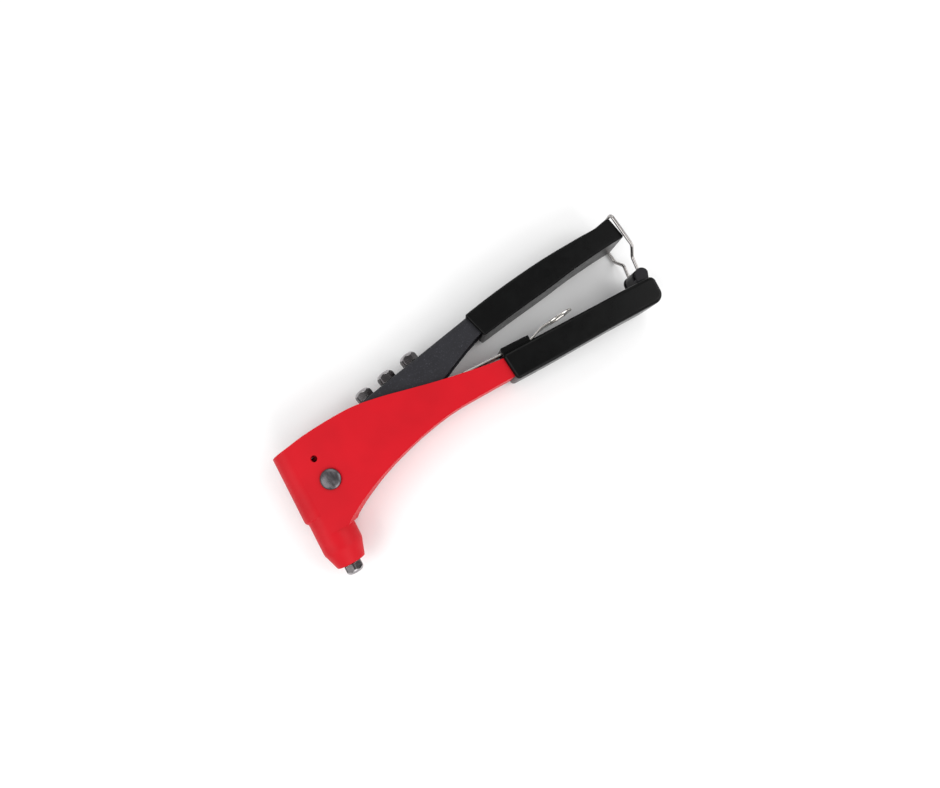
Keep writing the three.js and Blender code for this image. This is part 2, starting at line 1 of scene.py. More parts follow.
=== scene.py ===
# %% [markdown]
# # A hand riveter, piece by piece
#
# A hand riveter is a pair of pliers for blind rivets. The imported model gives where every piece
# is and how it moves. This script gives each piece its finished shape and its finish.
# Everything is in metres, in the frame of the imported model, with the tool lying on its side.

# %% Load the frame
import json
import math

import bmesh
import bpy
from mathutils import Matrix, Vector


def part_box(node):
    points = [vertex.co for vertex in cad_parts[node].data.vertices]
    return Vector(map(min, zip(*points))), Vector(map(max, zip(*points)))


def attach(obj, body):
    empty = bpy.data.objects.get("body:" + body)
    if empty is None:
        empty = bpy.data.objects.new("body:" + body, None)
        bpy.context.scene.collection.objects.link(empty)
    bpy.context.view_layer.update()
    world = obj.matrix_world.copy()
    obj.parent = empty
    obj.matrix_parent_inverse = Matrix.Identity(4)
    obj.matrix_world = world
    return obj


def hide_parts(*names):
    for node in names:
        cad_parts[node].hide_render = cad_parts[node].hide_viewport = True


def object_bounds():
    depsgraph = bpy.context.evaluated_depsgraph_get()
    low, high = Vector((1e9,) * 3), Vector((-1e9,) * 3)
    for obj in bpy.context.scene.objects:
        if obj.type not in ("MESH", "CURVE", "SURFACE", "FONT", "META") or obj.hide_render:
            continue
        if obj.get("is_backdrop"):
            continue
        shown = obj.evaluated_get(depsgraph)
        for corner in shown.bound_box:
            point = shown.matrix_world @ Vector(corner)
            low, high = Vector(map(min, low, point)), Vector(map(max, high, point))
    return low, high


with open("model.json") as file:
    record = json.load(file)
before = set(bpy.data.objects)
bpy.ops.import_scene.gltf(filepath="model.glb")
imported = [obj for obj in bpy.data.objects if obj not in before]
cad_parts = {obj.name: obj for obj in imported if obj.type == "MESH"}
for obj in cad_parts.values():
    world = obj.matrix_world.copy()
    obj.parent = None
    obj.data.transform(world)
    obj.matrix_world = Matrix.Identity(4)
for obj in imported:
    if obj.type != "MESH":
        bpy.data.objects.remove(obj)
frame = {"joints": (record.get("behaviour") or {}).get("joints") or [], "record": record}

CAD_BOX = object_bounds()
JOINTS = {joint["name"]: joint for joint in frame["joints"]}

# %% [markdown]
# ## Working on the bench
#
# A toolmaker would lay this tool out from its pivot pin, so the pieces are shaped in millimetres
# from the middle of that pin, and one matrix carries each finished mesh into the frame. Small
# numbers in millimetres also keep the mesh operators away from rounding trouble. The object
# itself stays at the origin, because its place is in its mesh.

# %% The bench: millimetres from the pivot pin
PIVOT = Vector(JOINTS["lever_pivot"]["pos_m"])
LATCH = (Vector(JOINTS["latch_hinge"]["pos_m"]) - PIVOT) * 1000
TO_FRAME = Matrix.Translation(PIVOT) @ Matrix.Scale(0.001, 4)


def bench_box(node):
    """A node's lowest and highest corners, in millimetres from the pivot pin."""
    low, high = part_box(node)
    return (low - PIVOT) * 1000, (high - PIVOT) * 1000


SHELL_LOW, SHELL_HIGH = bench_box("body_shell")
CASE_LOW, CASE_HIGH = bench_box("jaw_case")
BUSH_LOW, BUSH_HIGH = bench_box("nose_bush")
BARREL_X = (BUSH_LOW.x + BUSH_HIGH.x) / 2
GAP = 0.3                # clearance between pieces that touch
SLIDE = 0.4              # clearance between pieces that slide
print("latch hinge:", [round(v, 2) for v in LATCH], "barrel axis:", round(BARREL_X, 2))

# %% [markdown]
# ## Outlines
#
# Sheet metal and mouldings are drawn as side views first. A few points give the shape, and a
# smooth line runs through them. Round corners are arcs.

# %% Smooth lines and arcs


def smooth(points, steps=6):
    """A Catmull-Rom line through a few points, with some steps between each two."""
    ends = [points[0], *points, points[-1]]
    line = []
    for a, b, c, d in zip(ends, ends[1:], ends[2:], ends[3:]):
        for step in range(steps):
            t = step / steps
            line.append(tuple(
                0.5 * (2 * q + (r - p) * t + (2 * p - 5 * q + 4 * r - s) * t ** 2
                       + (3 * q - p - 3 * r + s) * t ** 3)
                for p, q, r, s in zip(a, b, c, d)))
    return line + [tuple(points[-1])]


def arc(centre, radius, start, end, steps=16):
    """Points on a circle, from one angle to another, in degrees."""
    angles = [math.radians(start + (end - start) * step / steps) for step in range(steps + 1)]
    return [(centre[0] + radius * math.cos(a), centre[1] + radius * math.sin(a)) for a in angles]


def shifted(points, dx, dy):
    return [(x + dx, y + dy) for x, y in points]


# %% [markdown]
# ## Four ways to make a solid
#
# Most of this tool is cut from sheet, turned on a lathe, or bent from wire. A plate is an outline
# extruded square to itself. A turned piece is half a section spun round its axis. A wire is a
# ring that is pushed along straight runs and spun round each bend, as a bending machine does it.
# Cuts and joins between these solids are Boolean modifiers, applied at once.

# %% Plates


def plate(outline, low, high):
    """An outline in x and y, extruded along z."""
    bm = bmesh.new()
    face = bm.faces.new([bm.verts.new((x, y, low)) for x, y in outline])
    grown = bmesh.ops.extrude_face_region(bm, geom=[face])["geom"]
    moved = [v for v in grown if isinstance(v, bmesh.types.BMVert)]
    bmesh.ops.translate(bm, verts=moved, vec=(0, 0, high - low))
    bmesh.ops.recalc_face_normals(bm, faces=bm.faces)
    return bm


def lying_plate(outline, low, high):
    """An outline in x and z, extruded along y."""
    bm = plate([(x, -z) for x, z in outline], low, high)
    bmesh.ops.rotate(bm, verts=bm.verts, cent=(0, 0, 0), matrix=Matrix.Rotation(-math.pi / 2, 3, "X"))
    return bm


def round_edges(bm, edges, radius, segments=5):
    """Rounds the given edges."""
    bmesh.ops.bevel(bm, geom=list(edges), offset=radius, offset_type="OFFSET", segments=segments,
                    profile=0.5, affect="EDGES", clamp_overlap=True, material=-1)
    return bm


def sharp_edges(bm, degrees=30):
    """The edges where two faces meet at more than an angle."""
    return [e for e in bm.edges if len(e.link_faces) == 2 and e.calc_face_angle() > math.radians(degrees)]


def edges_along(bm, outline):
    """A plate's long edges, on both its sides, that follow part of its outline."""
    spots = {(round(x, 3), round(y, 3)) for x, y in outline}
    return [e for e in bm.edges if abs(e.verts[0].co.z - e.verts[1].co.z) < 1e-6
            and all((round(v.co.x, 3), round(v.co.y, 3)) in spots for v in e.verts)]


# %% Turned pieces
ALONG_BARREL = Vector((0, 1, 0))
ALONG_PIN = Vector((0, 0, 1))


def turned(profile, centre=(0, 0, 0), axis=ALONG_BARREL, steps=64, closed=False):
    """A half section of (radius, height) points, spun round an axis."""
    bm = bmesh.new()
    centre = Vector(centre)
    side = (Vector((1, 0, 0)) - axis * axis.x).normalized()
    verts = [bm.verts.new(centre + side * r + axis * h) for r, h in profile]
    pairs = list(zip(verts, verts[1:])) + ([(verts[-1], verts[0])] if closed else [])
    edges = [bm.edges.new(pair) for pair in pairs]
    bmesh.ops.spin(bm, geom=verts + edges, cent=centre, axis=axis, angle=2 * math.pi,
                   steps=steps, use_merge=True)
    bmesh.ops.remove_doubles(bm, verts=bm.verts, dist=1e-4)
    bmesh.ops.recalc_face_normals(bm, faces=bm.faces)
    return bm


def rod(radius, low, high):
    return [(0, low), (radius, low), (radius, high), (0, high)]


def sleeve(inner, outer, low, high, edge=0.25):
    """A tube's section with its outer corners broken."""
    return [(inner, low), (outer - edge, low), (outer, low + edge), (outer, high - edge),
            (outer - edge, high), (inner, high)]


# %% Wires


def edges_of(geom):
    return [e for e in geom if isinstance(e, bmesh.types.BMEdge)]


def push(bm, ring, run):
    """Extrudes a ring of edges along a straight run."""
    grown = bmesh.ops.extrude_edge_only(bm, edges=ring)["geom"]
    bmesh.ops.translate(bm, verts=[v for v in grown if isinstance(v, bmesh.types.BMVert)], vec=run)
    return [e for e in edges_of(grown) if all(v in grown for v in e.verts)]


def bent_wire(points, radius, bend, sides=20):
    """A round wire that runs straight between points and bends at each of them."""
    bm = bmesh.new()
    points = [Vector(p) for p in points]
    heading = (points[1] - points[0]).normalized()
    facing = Matrix.Translation(points[0]) @ heading.to_track_quat("Z", "Y").to_matrix().to_4x4()
    bmesh.ops.create_circle(bm, segments=sides, radius=radius, matrix=facing)
    ring, here = list(bm.edges), points[0]
    for before, corner, after in zip(points, points[1:], points[2:]):
        inward, outward = (corner - before).normalized(), (after - corner).normalized()
        turn = inward.angle(outward)
        start = corner - inward * bend * math.tan(turn / 2)
        ring = push(bm, ring, start - here)
        axis = inward.cross(outward).normalized()
        bent = bmesh.ops.spin(bm, geom=ring, cent=start + axis.cross(inward) * bend, axis=axis,
                              angle=turn, steps=max(3, round(turn * 7)))
        ring = edges_of(bent["geom_last"])
        here = corner + outward * bend * math.tan(turn / 2)
    push(bm, ring, points[-1] - here)
    return close_ends(bm)


def close_ends(bm):
    """Caps the open ends of a wire and points its faces outwards."""
    bmesh.ops.holes_fill(bm, edges=[e for e in bm.edges if e.is_boundary], sides=0)
    bmesh.ops.recalc_face_normals(bm, faces=bm.faces)
    return bm


# %% Cuts and joins


def set_down(bm, name):
    """A bmesh as an object on the bench."""
    mesh = bpy.data.meshes.new(name)
    bm.to_mesh(mesh)
    bm.free()
    obj = bpy.data.objects.new(name, mesh)
    bpy.context.scene.collection.objects.link(obj)
    return obj


def combine(bm, others, operation):
    """The bmesh joined with, cut by, or kept inside other solids."""
    for other in others:
        work, tool = set_down(bm, "work"), set_down(other, "tool")
        modifier = work.modifiers.new("combine", "BOOLEAN")
        modifier.object, modifier.operation, modifier.solver = tool, operation, "EXACT"
        made = bpy.data.meshes.new_from_object(work.evaluated_get(bpy.context.evaluated_depsgraph_get()))
        bm = bmesh.new()
        bm.from_mesh(made)
        for obj in (work, tool):
            bpy.data.meshes.remove(obj.data)
        bpy.data.meshes.remove(made)
        bmesh.ops.remove_doubles(bm, verts=bm.verts, dist=2e-4)
        bmesh.ops.dissolve_limit(bm, angle_limit=math.radians(0.3), verts=bm.verts, edges=bm.edges)
    return bm


def cut(bm, *others):
    return combine(bm, others, "DIFFERENCE")


def join(bm, *others):
    return combine(bm, others, "UNION")


def common(bm, *others):
    return combine(bm, others, "INTERSECT")


# %% [markdown]
# ## Finishes
#
# A finish is one Principled shader. What is the same all over, such as how metallic it is, is set
# straight on the shader. What varies, such as grain, mottle and small bumps, comes from noise
# that is read in Object coordinates, so it stays on the piece when the piece moves.

# %% Building blocks of a finish


class Finish:
    """One material with its shader, and helpers that add detail to it."""

    def __init__(self, name, colour, roughness, metallic=0.0, **sockets):
        self.material = bpy.data.materials.new(name)
        self.material.use_nodes = True
        self.tree = self.material.node_tree
        self.shader = self.tree.nodes["Principled BSDF"]
        self.colour = colour
        self.roughness = roughness
        self.shader.inputs["Base Color"].default_value = (*colour, 1)
        self.shader.inputs["Roughness"].default_value = roughness
        self.shader.inputs["Metallic"].default_value = metallic
        for socket, value in sockets.items():
            self.shader.inputs[socket.replace("_", " ")].default_value = value
        self.place = self.tree.nodes.new("ShaderNodeTexCoord").outputs["Object"]

    def node(self, kind, **inputs):
        node = self.tree.nodes.new(kind)
        for name, value in inputs.items():
            socket = node.inputs[name.replace("_", " ")]
            if isinstance(value, bpy.types.NodeSocket):
                self.tree.links.new(value, socket)
            else:
                socket.default_value = value
        return node

    def noise(self, size_mm, stretch=(1, 1, 1), detail=3.0, roughness=0.55):
        """Noise whose grains are about this size, drawn out along an axis by a small stretch."""
        mapped = self.node("ShaderNodeMapping", Vector=self.place, Scale=stretch)
        return self.node("ShaderNodeTexNoise", Vector=mapped.outputs["Vector"], Scale=1000 / size_mm,
                         Detail=detail, Roughness=roughness).outputs["Fac"]

    def spread(self, value, low, high, start=0.3, end=0.7):
        """Maps a value from one range to another."""
        node = self.node("ShaderNodeMapRange", Value=value, From_Min=start, From_Max=end,
                         To_Min=low, To_Max=high)
        return node.outputs["Result"]

    def mix(self, factor, first, second):
        node = self.tree.nodes.new("ShaderNodeMix")
        node.data_type = "RGBA"
        self.tree.links.new(factor, node.inputs["Factor"])
        for socket, value in (("A", first), ("B", second)):
            target = [i for i in node.inputs if i.name == socket and i.type == "RGBA"][0]
            if isinstance(value, bpy.types.NodeSocket):
                self.tree.links.new(value, target)
            else:
                target.default_value = (*value, 1)
        return [o for o in node.outputs if o.type == "RGBA"][0]

    def paint(self, colour):
        self.tree.links.new(colour, self.shader.inputs["Base Color"])

    def vary_roughness(self, value, amount):
        self.tree.links.new(self.spread(value, self.roughness - amount, self.roughness + amount),
                            self.shader.inputs["Roughness"])

    def bump(self, height, strength, depth_mm):
        before = self.shader.inputs["Normal"].links
        node = self.node("ShaderNodeBump", Height=height, Strength=strength, Distance=depth_mm / 1000)
        if before:
            self.tree.links.new(before[0].from_socket, node.inputs["Normal"])
        self.tree.links.new(node.outputs["Normal"], self.shader.inputs["Normal"])


def shade(colour, factor):
    return tuple(min(1.0, c * factor) for c in colour)


# %% [markdown]
# Powder coat is a plastic skin, baked on. It has a fine orange peel, and the red one is satin and
# even. The dark one on the lever is coarser and shows small lighter specks.

# %% Coats


def red_coat():
    finish = Finish("red_powder_coat", (0.565, 0.005, 0.013), 0.48, Specular_IOR_Level=0.16)
    cloud = finish.noise(30, detail=2)
    finish.paint(finish.mix(finish.spread(cloud, 0, 1), shade(finish.colour, 0.93),
                            shade(finish.colour, 1.05)))
    finish.vary_roughness(finish.noise(6), 0.04)
    finish.bump(finish.noise(1.1, detail=1), 0.10, 0.12)
    finish.bump(finish.noise(0.35, detail=2), 0.06, 0.05)
    return finish.material


def dark_coat():
    finish = Finish("speckled_dark_coat", (0.0155, 0.0155, 0.0195), 0.52, Specular_IOR_Level=0.28)
    specks = finish.spread(finish.noise(0.9, detail=3, roughness=0.75), 0, 1, 0.58, 0.72)
    cloud = finish.spread(finish.noise(9), 0, 1)
    ground = finish.mix(cloud, shade(finish.colour, 0.85), shade(finish.colour, 1.12))
    finish.paint(finish.mix(specks, ground, shade(finish.colour, 4.0)))
    finish.vary_roughness(finish.noise(2.5), 0.07)
    finish.bump(finish.noise(0.7, detail=2), 0.35, 0.12)
    return finish.material


# %% [markdown]
# The grips are dip-moulded plastic, nearly black, with a fine leathery skin. Broad lighter
# patches in their colour are a painted sheen. The latch eye is a harder plastic with a slight blue cast.

# %% Plastics


def grip_skin():
    finish = Finish("black_grip_skin", (0.0022, 0.0023, 0.0023), 0.31, Specular_IOR_Level=0.12)
    # broad lighter patches in the black: a painted sheen
    painted_sheen = finish.spread(finish.noise(14), 0, 1, 0.35, 0.7)
    finish.paint(finish.mix(painted_sheen, shade(finish.colour, 0.85), shade(finish.colour, 1.35)))
    finish.vary_roughness(finish.noise(5), 0.06)
    finish.bump(finish.noise(0.55, detail=2), 0.15, 0.06)
    finish.bump(finish.noise(2.6, detail=1), 0.06, 0.10)
    return finish.material


def eye_plastic():
    finish = Finish("latch_eye_plastic", (0.0045, 0.004, 0.0065), 0.36, Specular_IOR_Level=0.22)
    finish.paint(finish.mix(finish.spread(finish.noise(4), 0, 1), shade(finish.colour, 0.8),
                            shade(finish.colour, 1.3)))
    finish.vary_roughness(finish.noise(2), 0.06)
    finish.bump(finish.noise(0.4, detail=1), 0.15, 0.06)
    return finish.material


# %% [markdown]
# Bare steel shows how it was made. Turned pieces carry fine rings, so their noise is drawn out
# across the axis. Strip and wire carry lines along their length.

# %% Metals


def steel(name, colour, roughness, stretch, size_mm=0.5, mottle=0.15, metallic=1.0):
    """Bare metal with fine tool lines; a small stretch along an axis draws them out along it."""
    finish = Finish(name, colour, roughness, metallic)
    lines = finish.noise(size_mm, stretch, detail=4)
    stain = finish.spread(finish.noise(7), 0, 1)
    tone = finish.mix(stain, shade(colour, 1 - mottle), shade(colour, 1 + mottle))
    finish.paint(finish.mix(finish.spread(lines, 0, 1), shade(colour, 1 - mottle), tone))
    finish.vary_roughness(lines, 0.08)
    finish.bump(lines, 0.18, 0.03)
    return finish.material


RED = red_coat()
DARK = dark_coat()
GRIP = grip_skin()
EYE = eye_plastic()
GUNMETAL = steel("gunmetal", (0.105, 0.097, 0.10), 0.22, (0.12, 1, 0.12), mottle=0.35)
# a paler gunmetal whose colour paints a highlight on the nosepieces' crown shoulders
PAINTED_HIGHLIGHT = steel("gunmetal_painted_highlight", (0.42, 0.40, 0.41), 0.30, (0.12, 1, 0.12), mottle=0.25)
# a bright steel whose colour paints glints along the nosepieces' edge bevels
PAINTED_GLINT = steel("steel_painted_glint", (0.80, 0.77, 0.74), 0.34, (0.3, 1, 0.3), mottle=0.2)
PIN_STEEL = steel("pin_gunmetal", (0.15, 0.14, 0.15), 0.33, (1, 0.35, 1), mottle=0.4, size_mm=1.4)
WIRE = steel("drawn_wire", (0.46, 0.44, 0.43), 0.22, (1, 0.08, 1), mottle=0.12)
NICKEL = steel("nickel_strip", (0.56, 0.54, 0.51), 0.20, (0.06, 1, 1), mottle=0.08)
TURNED = steel("turned_steel", (0.38, 0.38, 0.39), 0.34, (0.15, 1, 0.15))
SPRING = steel("spring_steel", (0.20, 0.20, 0.215), 0.36, (0.4, 0.4, 1), mottle=0.2)
print("finishes:", len(bpy.data.materials))

# %% [markdown]
# ## Putting a piece in the frame
#
# Every finished mesh goes through one function. It moves the mesh from the bench to the frame,
# hangs it on the body it rides on, hides the imported node it stands for, and breaks its sharp edges
# with a fine bevel, because no real edge is perfectly sharp.

# %% Finish a piece
TRIANGLES = {}


def settle(bm, name, node, material, edge=0.3, segments=2):
    """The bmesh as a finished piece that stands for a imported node."""
    bmesh.ops.transform(bm, matrix=TO_FRAME, verts=bm.verts)
    for face in bm.faces:
        face.smooth = True
    loose = sum(1 for e in bm.edges if not e.is_manifold)
    TRIANGLES[name] = sum(len(face.verts) - 2 for face in bm.faces)
    assert TRIANGLES[name], name
    piece = set_down(bm, name)
    piece.data.set_sharp_from_angle(angle=math.radians(32))
    piece.data.materials.append(material)
    if edge:
        bevel = piece.modifiers.new("broken_edges", "BEVEL")
        bevel.width, bevel.segments, bevel.limit_method = edge / 1000, segments, "ANGLE"
        bevel.angle_limit, bevel.miter_outer = math.radians(32), "MITER_ARC"
        piece.modifiers.new("even_shading", "WEIGHTED_NORMAL").keep_sharp = True
    body = next(b for b, nodes in frame["record"]["behaviour"]["bodies"].items() if node in nodes)
    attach(piece, body)
    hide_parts(node)
    print(f"{name}: {TRIANGLES[name]} triangles, {loose} open edges, on {body}")
    return piece


# %% [markdown]
# ## The body
#
# The body is one steel sheet. It is folded half round in front, with the barrel below the fold,
# and it stays open on top for the lever. The two side plates are one plate as wide as the body,
# with its lower edges bent. The fold is a half section spun round the fold's axis, and it closes
# in on the barrel at its lower end. The same shapes, one sheet thickness smaller, are then cut
# out, so the wall is the same everywhere and there is no seam.

# %% Measures of the body
SHEET = 2
BODY_HALF = SHELL_HIGH.z
BARREL_R = BODY_HALF
FOLD_X = SHELL_LOW.x + BODY_HALF
NOSE_Y = SHELL_LOW.y
TAIL_X = SHELL_HIGH.x
FOLD_LOW = -17.5         # the fold starts to close in on the barrel here
FOLD_END = FOLD_LOW - 2
BARREL_TOP = (-2.7, -30)
TAPER_Y = -41
NOSE_R = 9.6
NOSE_WALL = 3.5
PIN_HOLE_R = 4.3
SIGHT_HOLE = (-3.8, 15.7, 0)
SIGHT_HOLE_R = 2.15
SEAT_Y = -46
BUSH_R = 7.2
BEND = 2.3               # outer radius of the bend along the lower edge
TOP_EDGE = [(-31, 27), (-18, 28.7), (0, 31.8), (28, 33.7), (48, 31.5), (66, 27.9), (84, 24.3),
            (102, 21.4), (124, 18.6), (150, 17.8), (TAIL_X, 19.2)]
LOWER_EDGE = [(0, -27.6), (12.5, -20.2), (32, -11.2), (58, -2.7), (84, 2.8), (110, 4.6), (150, 6.2),
              (TAIL_X, 9.4)]
print("fold axis:", round(FOLD_X, 2), "nose end:", round(NOSE_Y, 2), "tail:", round(TAIL_X, 2))

# %% The body's shell
FAR = 60                 # well outside the tool
THROUGH = 20             # half length of a drill that goes right through


def fold_round(inset):
    """The fold's round front, closing in on the barrel at its lower end."""
    radius = BODY_HALF - inset
    tucked = radius - (BARREL_X - FOLD_X)
    profile = [(0, FOLD_END), (tucked, FOLD_END), (tucked + 0.5, FOLD_END + 0.2),
               (radius - 0.4, FOLD_LOW - 0.6), (radius, FOLD_LOW + 0.3), (radius, FAR), (0, FAR)]
    return turned(profile, (FOLD_X, 0, 0), steps=80)


def sides(inset, rear, bend):
    """Both side plates with what is between them, with a bend along the lower edge."""
    half = BODY_HALF - inset
    lower = shifted(smooth(LOWER_EDGE), 0, inset)
    floor = BARREL_TOP[1] + inset / 2
    outline = [(FOLD_X, FAR), (rear, FAR), (rear, lower[-1][1])] + lower[::-1][1:]
    bm = plate(outline + [(BARREL_TOP[0] - inset, floor), (BARREL_X, floor)], -half, half)
    return round_edges(bm, edges_along(bm, lower), bend, 4)


def body_shell():
    below_top = plate(smooth(TOP_EDGE) + [(TAIL_X, -FAR), (TOP_EDGE[0][0], -FAR)], -THROUGH, THROUGH)
    nose = [(0, NOSE_Y), (NOSE_R - 1, NOSE_Y), (NOSE_R - 0.3, NOSE_Y + 0.3), (NOSE_R, NOSE_Y + 1),
            (BARREL_R - 1, TAPER_Y - 3), (BARREL_R - 0.25, TAPER_Y - 1), (BARREL_R, TAPER_Y + 1),
            (BARREL_R, FOLD_LOW), (0, FOLD_LOW)]
    bore = [(0, NOSE_Y - 1), (BUSH_R, NOSE_Y - 1), (BUSH_R, SEAT_Y), (BARREL_R - NOSE_WALL, SEAT_Y),
            (BARREL_R - SHEET, TAPER_Y), (BARREL_R - SHEET, 5), (0, 5)]
    outside = common(join(sides(0, TAIL_X, BEND), fold_round(0)), below_top)
    outside = join(outside, turned(nose, (BARREL_X, 0, 0), steps=80))
    pin = turned(rod(PIN_HOLE_R, -THROUGH, THROUGH), axis=ALONG_PIN, steps=48)
    sight = turned(rod(SIGHT_HOLE_R, -THROUGH, THROUGH), SIGHT_HOLE, ALONG_PIN, steps=32)
    return cut(outside, sides(SHEET, TAIL_X + SHEET, BEND - SHEET), fold_round(SHEET),
               turned(bore, (BARREL_X, 0, 0), steps=80), pin, sight)


settle(body_shell(), "folded_body", "body_shell", RED, edge=0.35, segments=3)

# %% [markdown]
# ## The lever
#
# The lever is a channel with its web on top. Its cheeks straddle the jaw case and end in two
# cams. Each cam's edge is an involute, the curve that the end of a cord draws as it unwinds from
# a drum, and it lifts the case by the same amount for every degree of the handle.

# %% Measures of the lever
LEVER_HIGH = bench_box("lever")[1]
LEVER_HALF = LEVER_HIGH.z
CHEEK = 2.5
TILT = math.radians(12.1)
EDGE_POINT = (46.2, 36.1)
SPARE_FEET = (40.2, 57.8, 75.8)
WEB_START = 20           # the straight top edge starts here
WEB_FRONT = 18           # the web stops here, behind the jaw case
WEB_SHOULDER = 2.2
BOSS_R = 5.9
BOSS = (-8, -0.5)        # a threaded boss under the web, between two heights
DRILL = (-14, 7)         # the drill goes through web and boss, and ends between the cheeks
CAM_SWEEP = (-0.03, 0.62)
STEM_R = 4.9
LEVER_TOP = [(117.6, 51.4), (143, 54.7), (173, 58.4), (LEVER_HIGH.x, 60.9)]
LEVER_UNDER = [(LEVER_HIGH.x, 53.4), (190, 50.4), (160, 45.5), (134, 41.2), (120, 38), (104, 31.2),
               (88, 23.5), (62, 11.5), (34, 0), (12, -8.4), (2, -10)]
CAM_LIFT = CASE_HIGH.y - 6
CAM_NOTCH = [(-7.4, 6.8), (-5.6, 6.4), (-4.4, 8.4), (-1.5, 10.8), (3, 12)]
CAM_FRONT = [(-7, -8), (-14, -1), (-18.4, 4), (-18.4, 9)]


def on_edge(x, rise=0.0):
    """A point on the lever's straight top edge, raised square to it."""
    y = EDGE_POINT[1] + (x - EDGE_POINT[0]) * math.tan(TILT)
    return Vector((x - rise * math.sin(TILT), y + rise * math.cos(TILT), 0))


def cam_edge(base_r=-BARREL_X, steps=14):
    """The involute, from the contact point at rest to the one with the handles open."""
    edge = []
    for step in range(steps + 1):
        back = CAM_SWEEP[0] + (CAM_SWEEP[1] - CAM_SWEEP[0]) * step / steps
        angle, reach = math.pi - back, CAM_LIFT - base_r * back
        edge.append((base_r * math.cos(angle) + reach * math.sin(angle),
                     base_r * math.sin(angle) - reach * math.cos(angle)))
    return edge


print("cam contact height:", round(CAM_LIFT, 2), "lever half width:", round(LEVER_HALF, 2))

# %% The lever's channel


def lever():
    web = [tuple(on_edge(WEB_START).xy)] + LEVER_TOP
    front = smooth([LEVER_UNDER[-1]] + CAM_FRONT + [cam_edge()[0]])[1:-1]
    outline = cam_edge() + smooth(CAM_NOTCH, 4) + web + smooth(LEVER_UNDER) + front
    bm = plate(outline, -LEVER_HALF, LEVER_HALF)
    round_edges(bm, edges_along(bm, web), WEB_SHOULDER, 5)
    under = shifted(web, 0, -CHEEK)
    rear = LEVER_HIGH.x + 5
    hollow = ([(-FAR, -FAR), (-FAR, FAR), (WEB_FRONT, FAR), (WEB_FRONT, under[0][1])]
              + under[1:] + [(rear, 58), (rear, -FAR)])
    half = LEVER_HALF - CHEEK
    bm = cut(bm, plate(hollow, -half, half))
    axis = on_edge(0, 1) - on_edge(0)
    for foot in SPARE_FEET:
        bm = join(bm, turned(rod(BOSS_R, *BOSS), on_edge(foot), axis, steps=48))
    drill = rod(STEM_R + GAP, *DRILL)
    holes = [turned(drill, on_edge(foot), axis, steps=56) for foot in SPARE_FEET]
    return cut(bm, *holes, turned(rod(PIN_HOLE_R, -THROUGH, THROUGH), axis=ALONG_PIN, steps=48))


settle(lever(), "channel_lever", "lever", DARK, edge=0.3)

# %% [markdown]
# ## The grips
#
# Each grip is a plastic sleeve pushed over a handle's tail. Its long edges and its mouth are
# well rounded, so all its sharp edges are bevelled wide before the pocket for the tail is cut.
# The upper grip rises to a low lip at its rear end, and the latch wire hooks behind it.

# %% The upper grip
UPPER_LOW, UPPER_HIGH = bench_box("upper_grip")
UPPER_ROUND = 1.9
UPPER_TOP = [(118, 52.5), (143, 57.3), (173, 61.5), (200, 63.5), (212, 64.0), (217, 65.0)]
UPPER_UNDER = [(226.8, 51.6), (212, 50.3), (192, 47.6), (172, 44), (148, 40.2), (123.3, 35.9)]
GRIP_LIP = arc((221.4, 63.7), 2.3, 105, 12, 8)
POCKET_FRONT = 110       # the tails' pockets start here, in front of both grips


def upper_grip():
    bm = plate(smooth(UPPER_TOP) + GRIP_LIP + smooth(UPPER_UNDER), UPPER_LOW.z, UPPER_HIGH.z)
    round_edges(bm, sharp_edges(bm), UPPER_ROUND, 5)
    rear, half = LEVER_HIGH.x + GAP, LEVER_HALF + GAP
    tail = shifted(LEVER_TOP, 0, GAP) + [(rear, 61)]
    under = [(x, y - GAP) for x, y in smooth(LEVER_UNDER) if x > POCKET_FRONT]
    return cut(bm, plate(tail + [(rear, under[0][1])] + under[1:], -half, half))


settle(upper_grip(), "upper_grip_sleeve", "upper_grip", GRIP, edge=0.5)

# %% [markdown]
# The lower grip also carries the wrench holder, a low ridge with a flat slot through it. Behind
# the slot a shallow groove lets the wrench slide out. The ridge is joined on before both are cut.

# %% The lower grip
LOWER_LOW, LOWER_HIGH = bench_box("lower_grip")
WRENCH_LOW, WRENCH_HIGH = bench_box("wrench")
LOWER_ROUND = 2.4
HOLDER = (128.5, 148)
HOLDER_ROOT = 15
HOLDER_TOP = LOWER_HIGH.y
HOLDER_HALF = 10
HOLDER_ROUND = 0.9
STRIP_HALF = 6
WRENCH_THICK = 1.5
GROOVE_END = 192


def lower_grip():
    rear = arc((227.2, 18.8), 3.8, 90, 0, 8) + arc((225.2, 12), 6, 0, -90, 12)
    outline = [(127, 20.4), (224, 22.6)] + rear + smooth([(200, 5.3), (160, 3.4), (129, 2.4)])
    bm = plate(outline, LOWER_LOW.z, LOWER_HIGH.z)
    round_edges(bm, sharp_edges(bm), LOWER_ROUND, 5)
    front, back = HOLDER
    ridge = plate([(front, HOLDER_ROOT), (front, HOLDER_TOP), (back, HOLDER_TOP), (back, HOLDER_ROOT)],
                  -HOLDER_HALF, HOLDER_HALF)
    seen = [e for e in sharp_edges(ridge) if max(v.co.y for v in e.verts) > HOLDER_TOP - 0.001]
    round_edges(ridge, seen, HOLDER_ROUND, 4)
    slot_half = STRIP_HALF + SLIDE
    floor, ceiling = WRENCH_LOW.y - GAP, WRENCH_LOW.y + WRENCH_THICK + GAP
    slot = [(front - 5, floor), (GROOVE_END, floor), (GROOVE_END, ceiling), (front - 5, ceiling)]
    rear, half = TAIL_X + GAP, BODY_HALF + GAP
    top = [(x, y + GAP) for x, y in smooth(TOP_EDGE) if x > POCKET_FRONT] + [(rear, 19.5)]
    low = [(x, y - GAP) for x, y in smooth(LOWER_EDGE) if x > POCKET_FRONT]
    pocket = plate(top + [(rear, 9.1)] + low[::-1], -half, half)
    return cut(join(bm, ridge), plate(slot, -slot_half, slot_half), pocket)


settle(lower_grip(), "lower_grip_sleeve", "lower_grip", GRIP, edge=0.3)

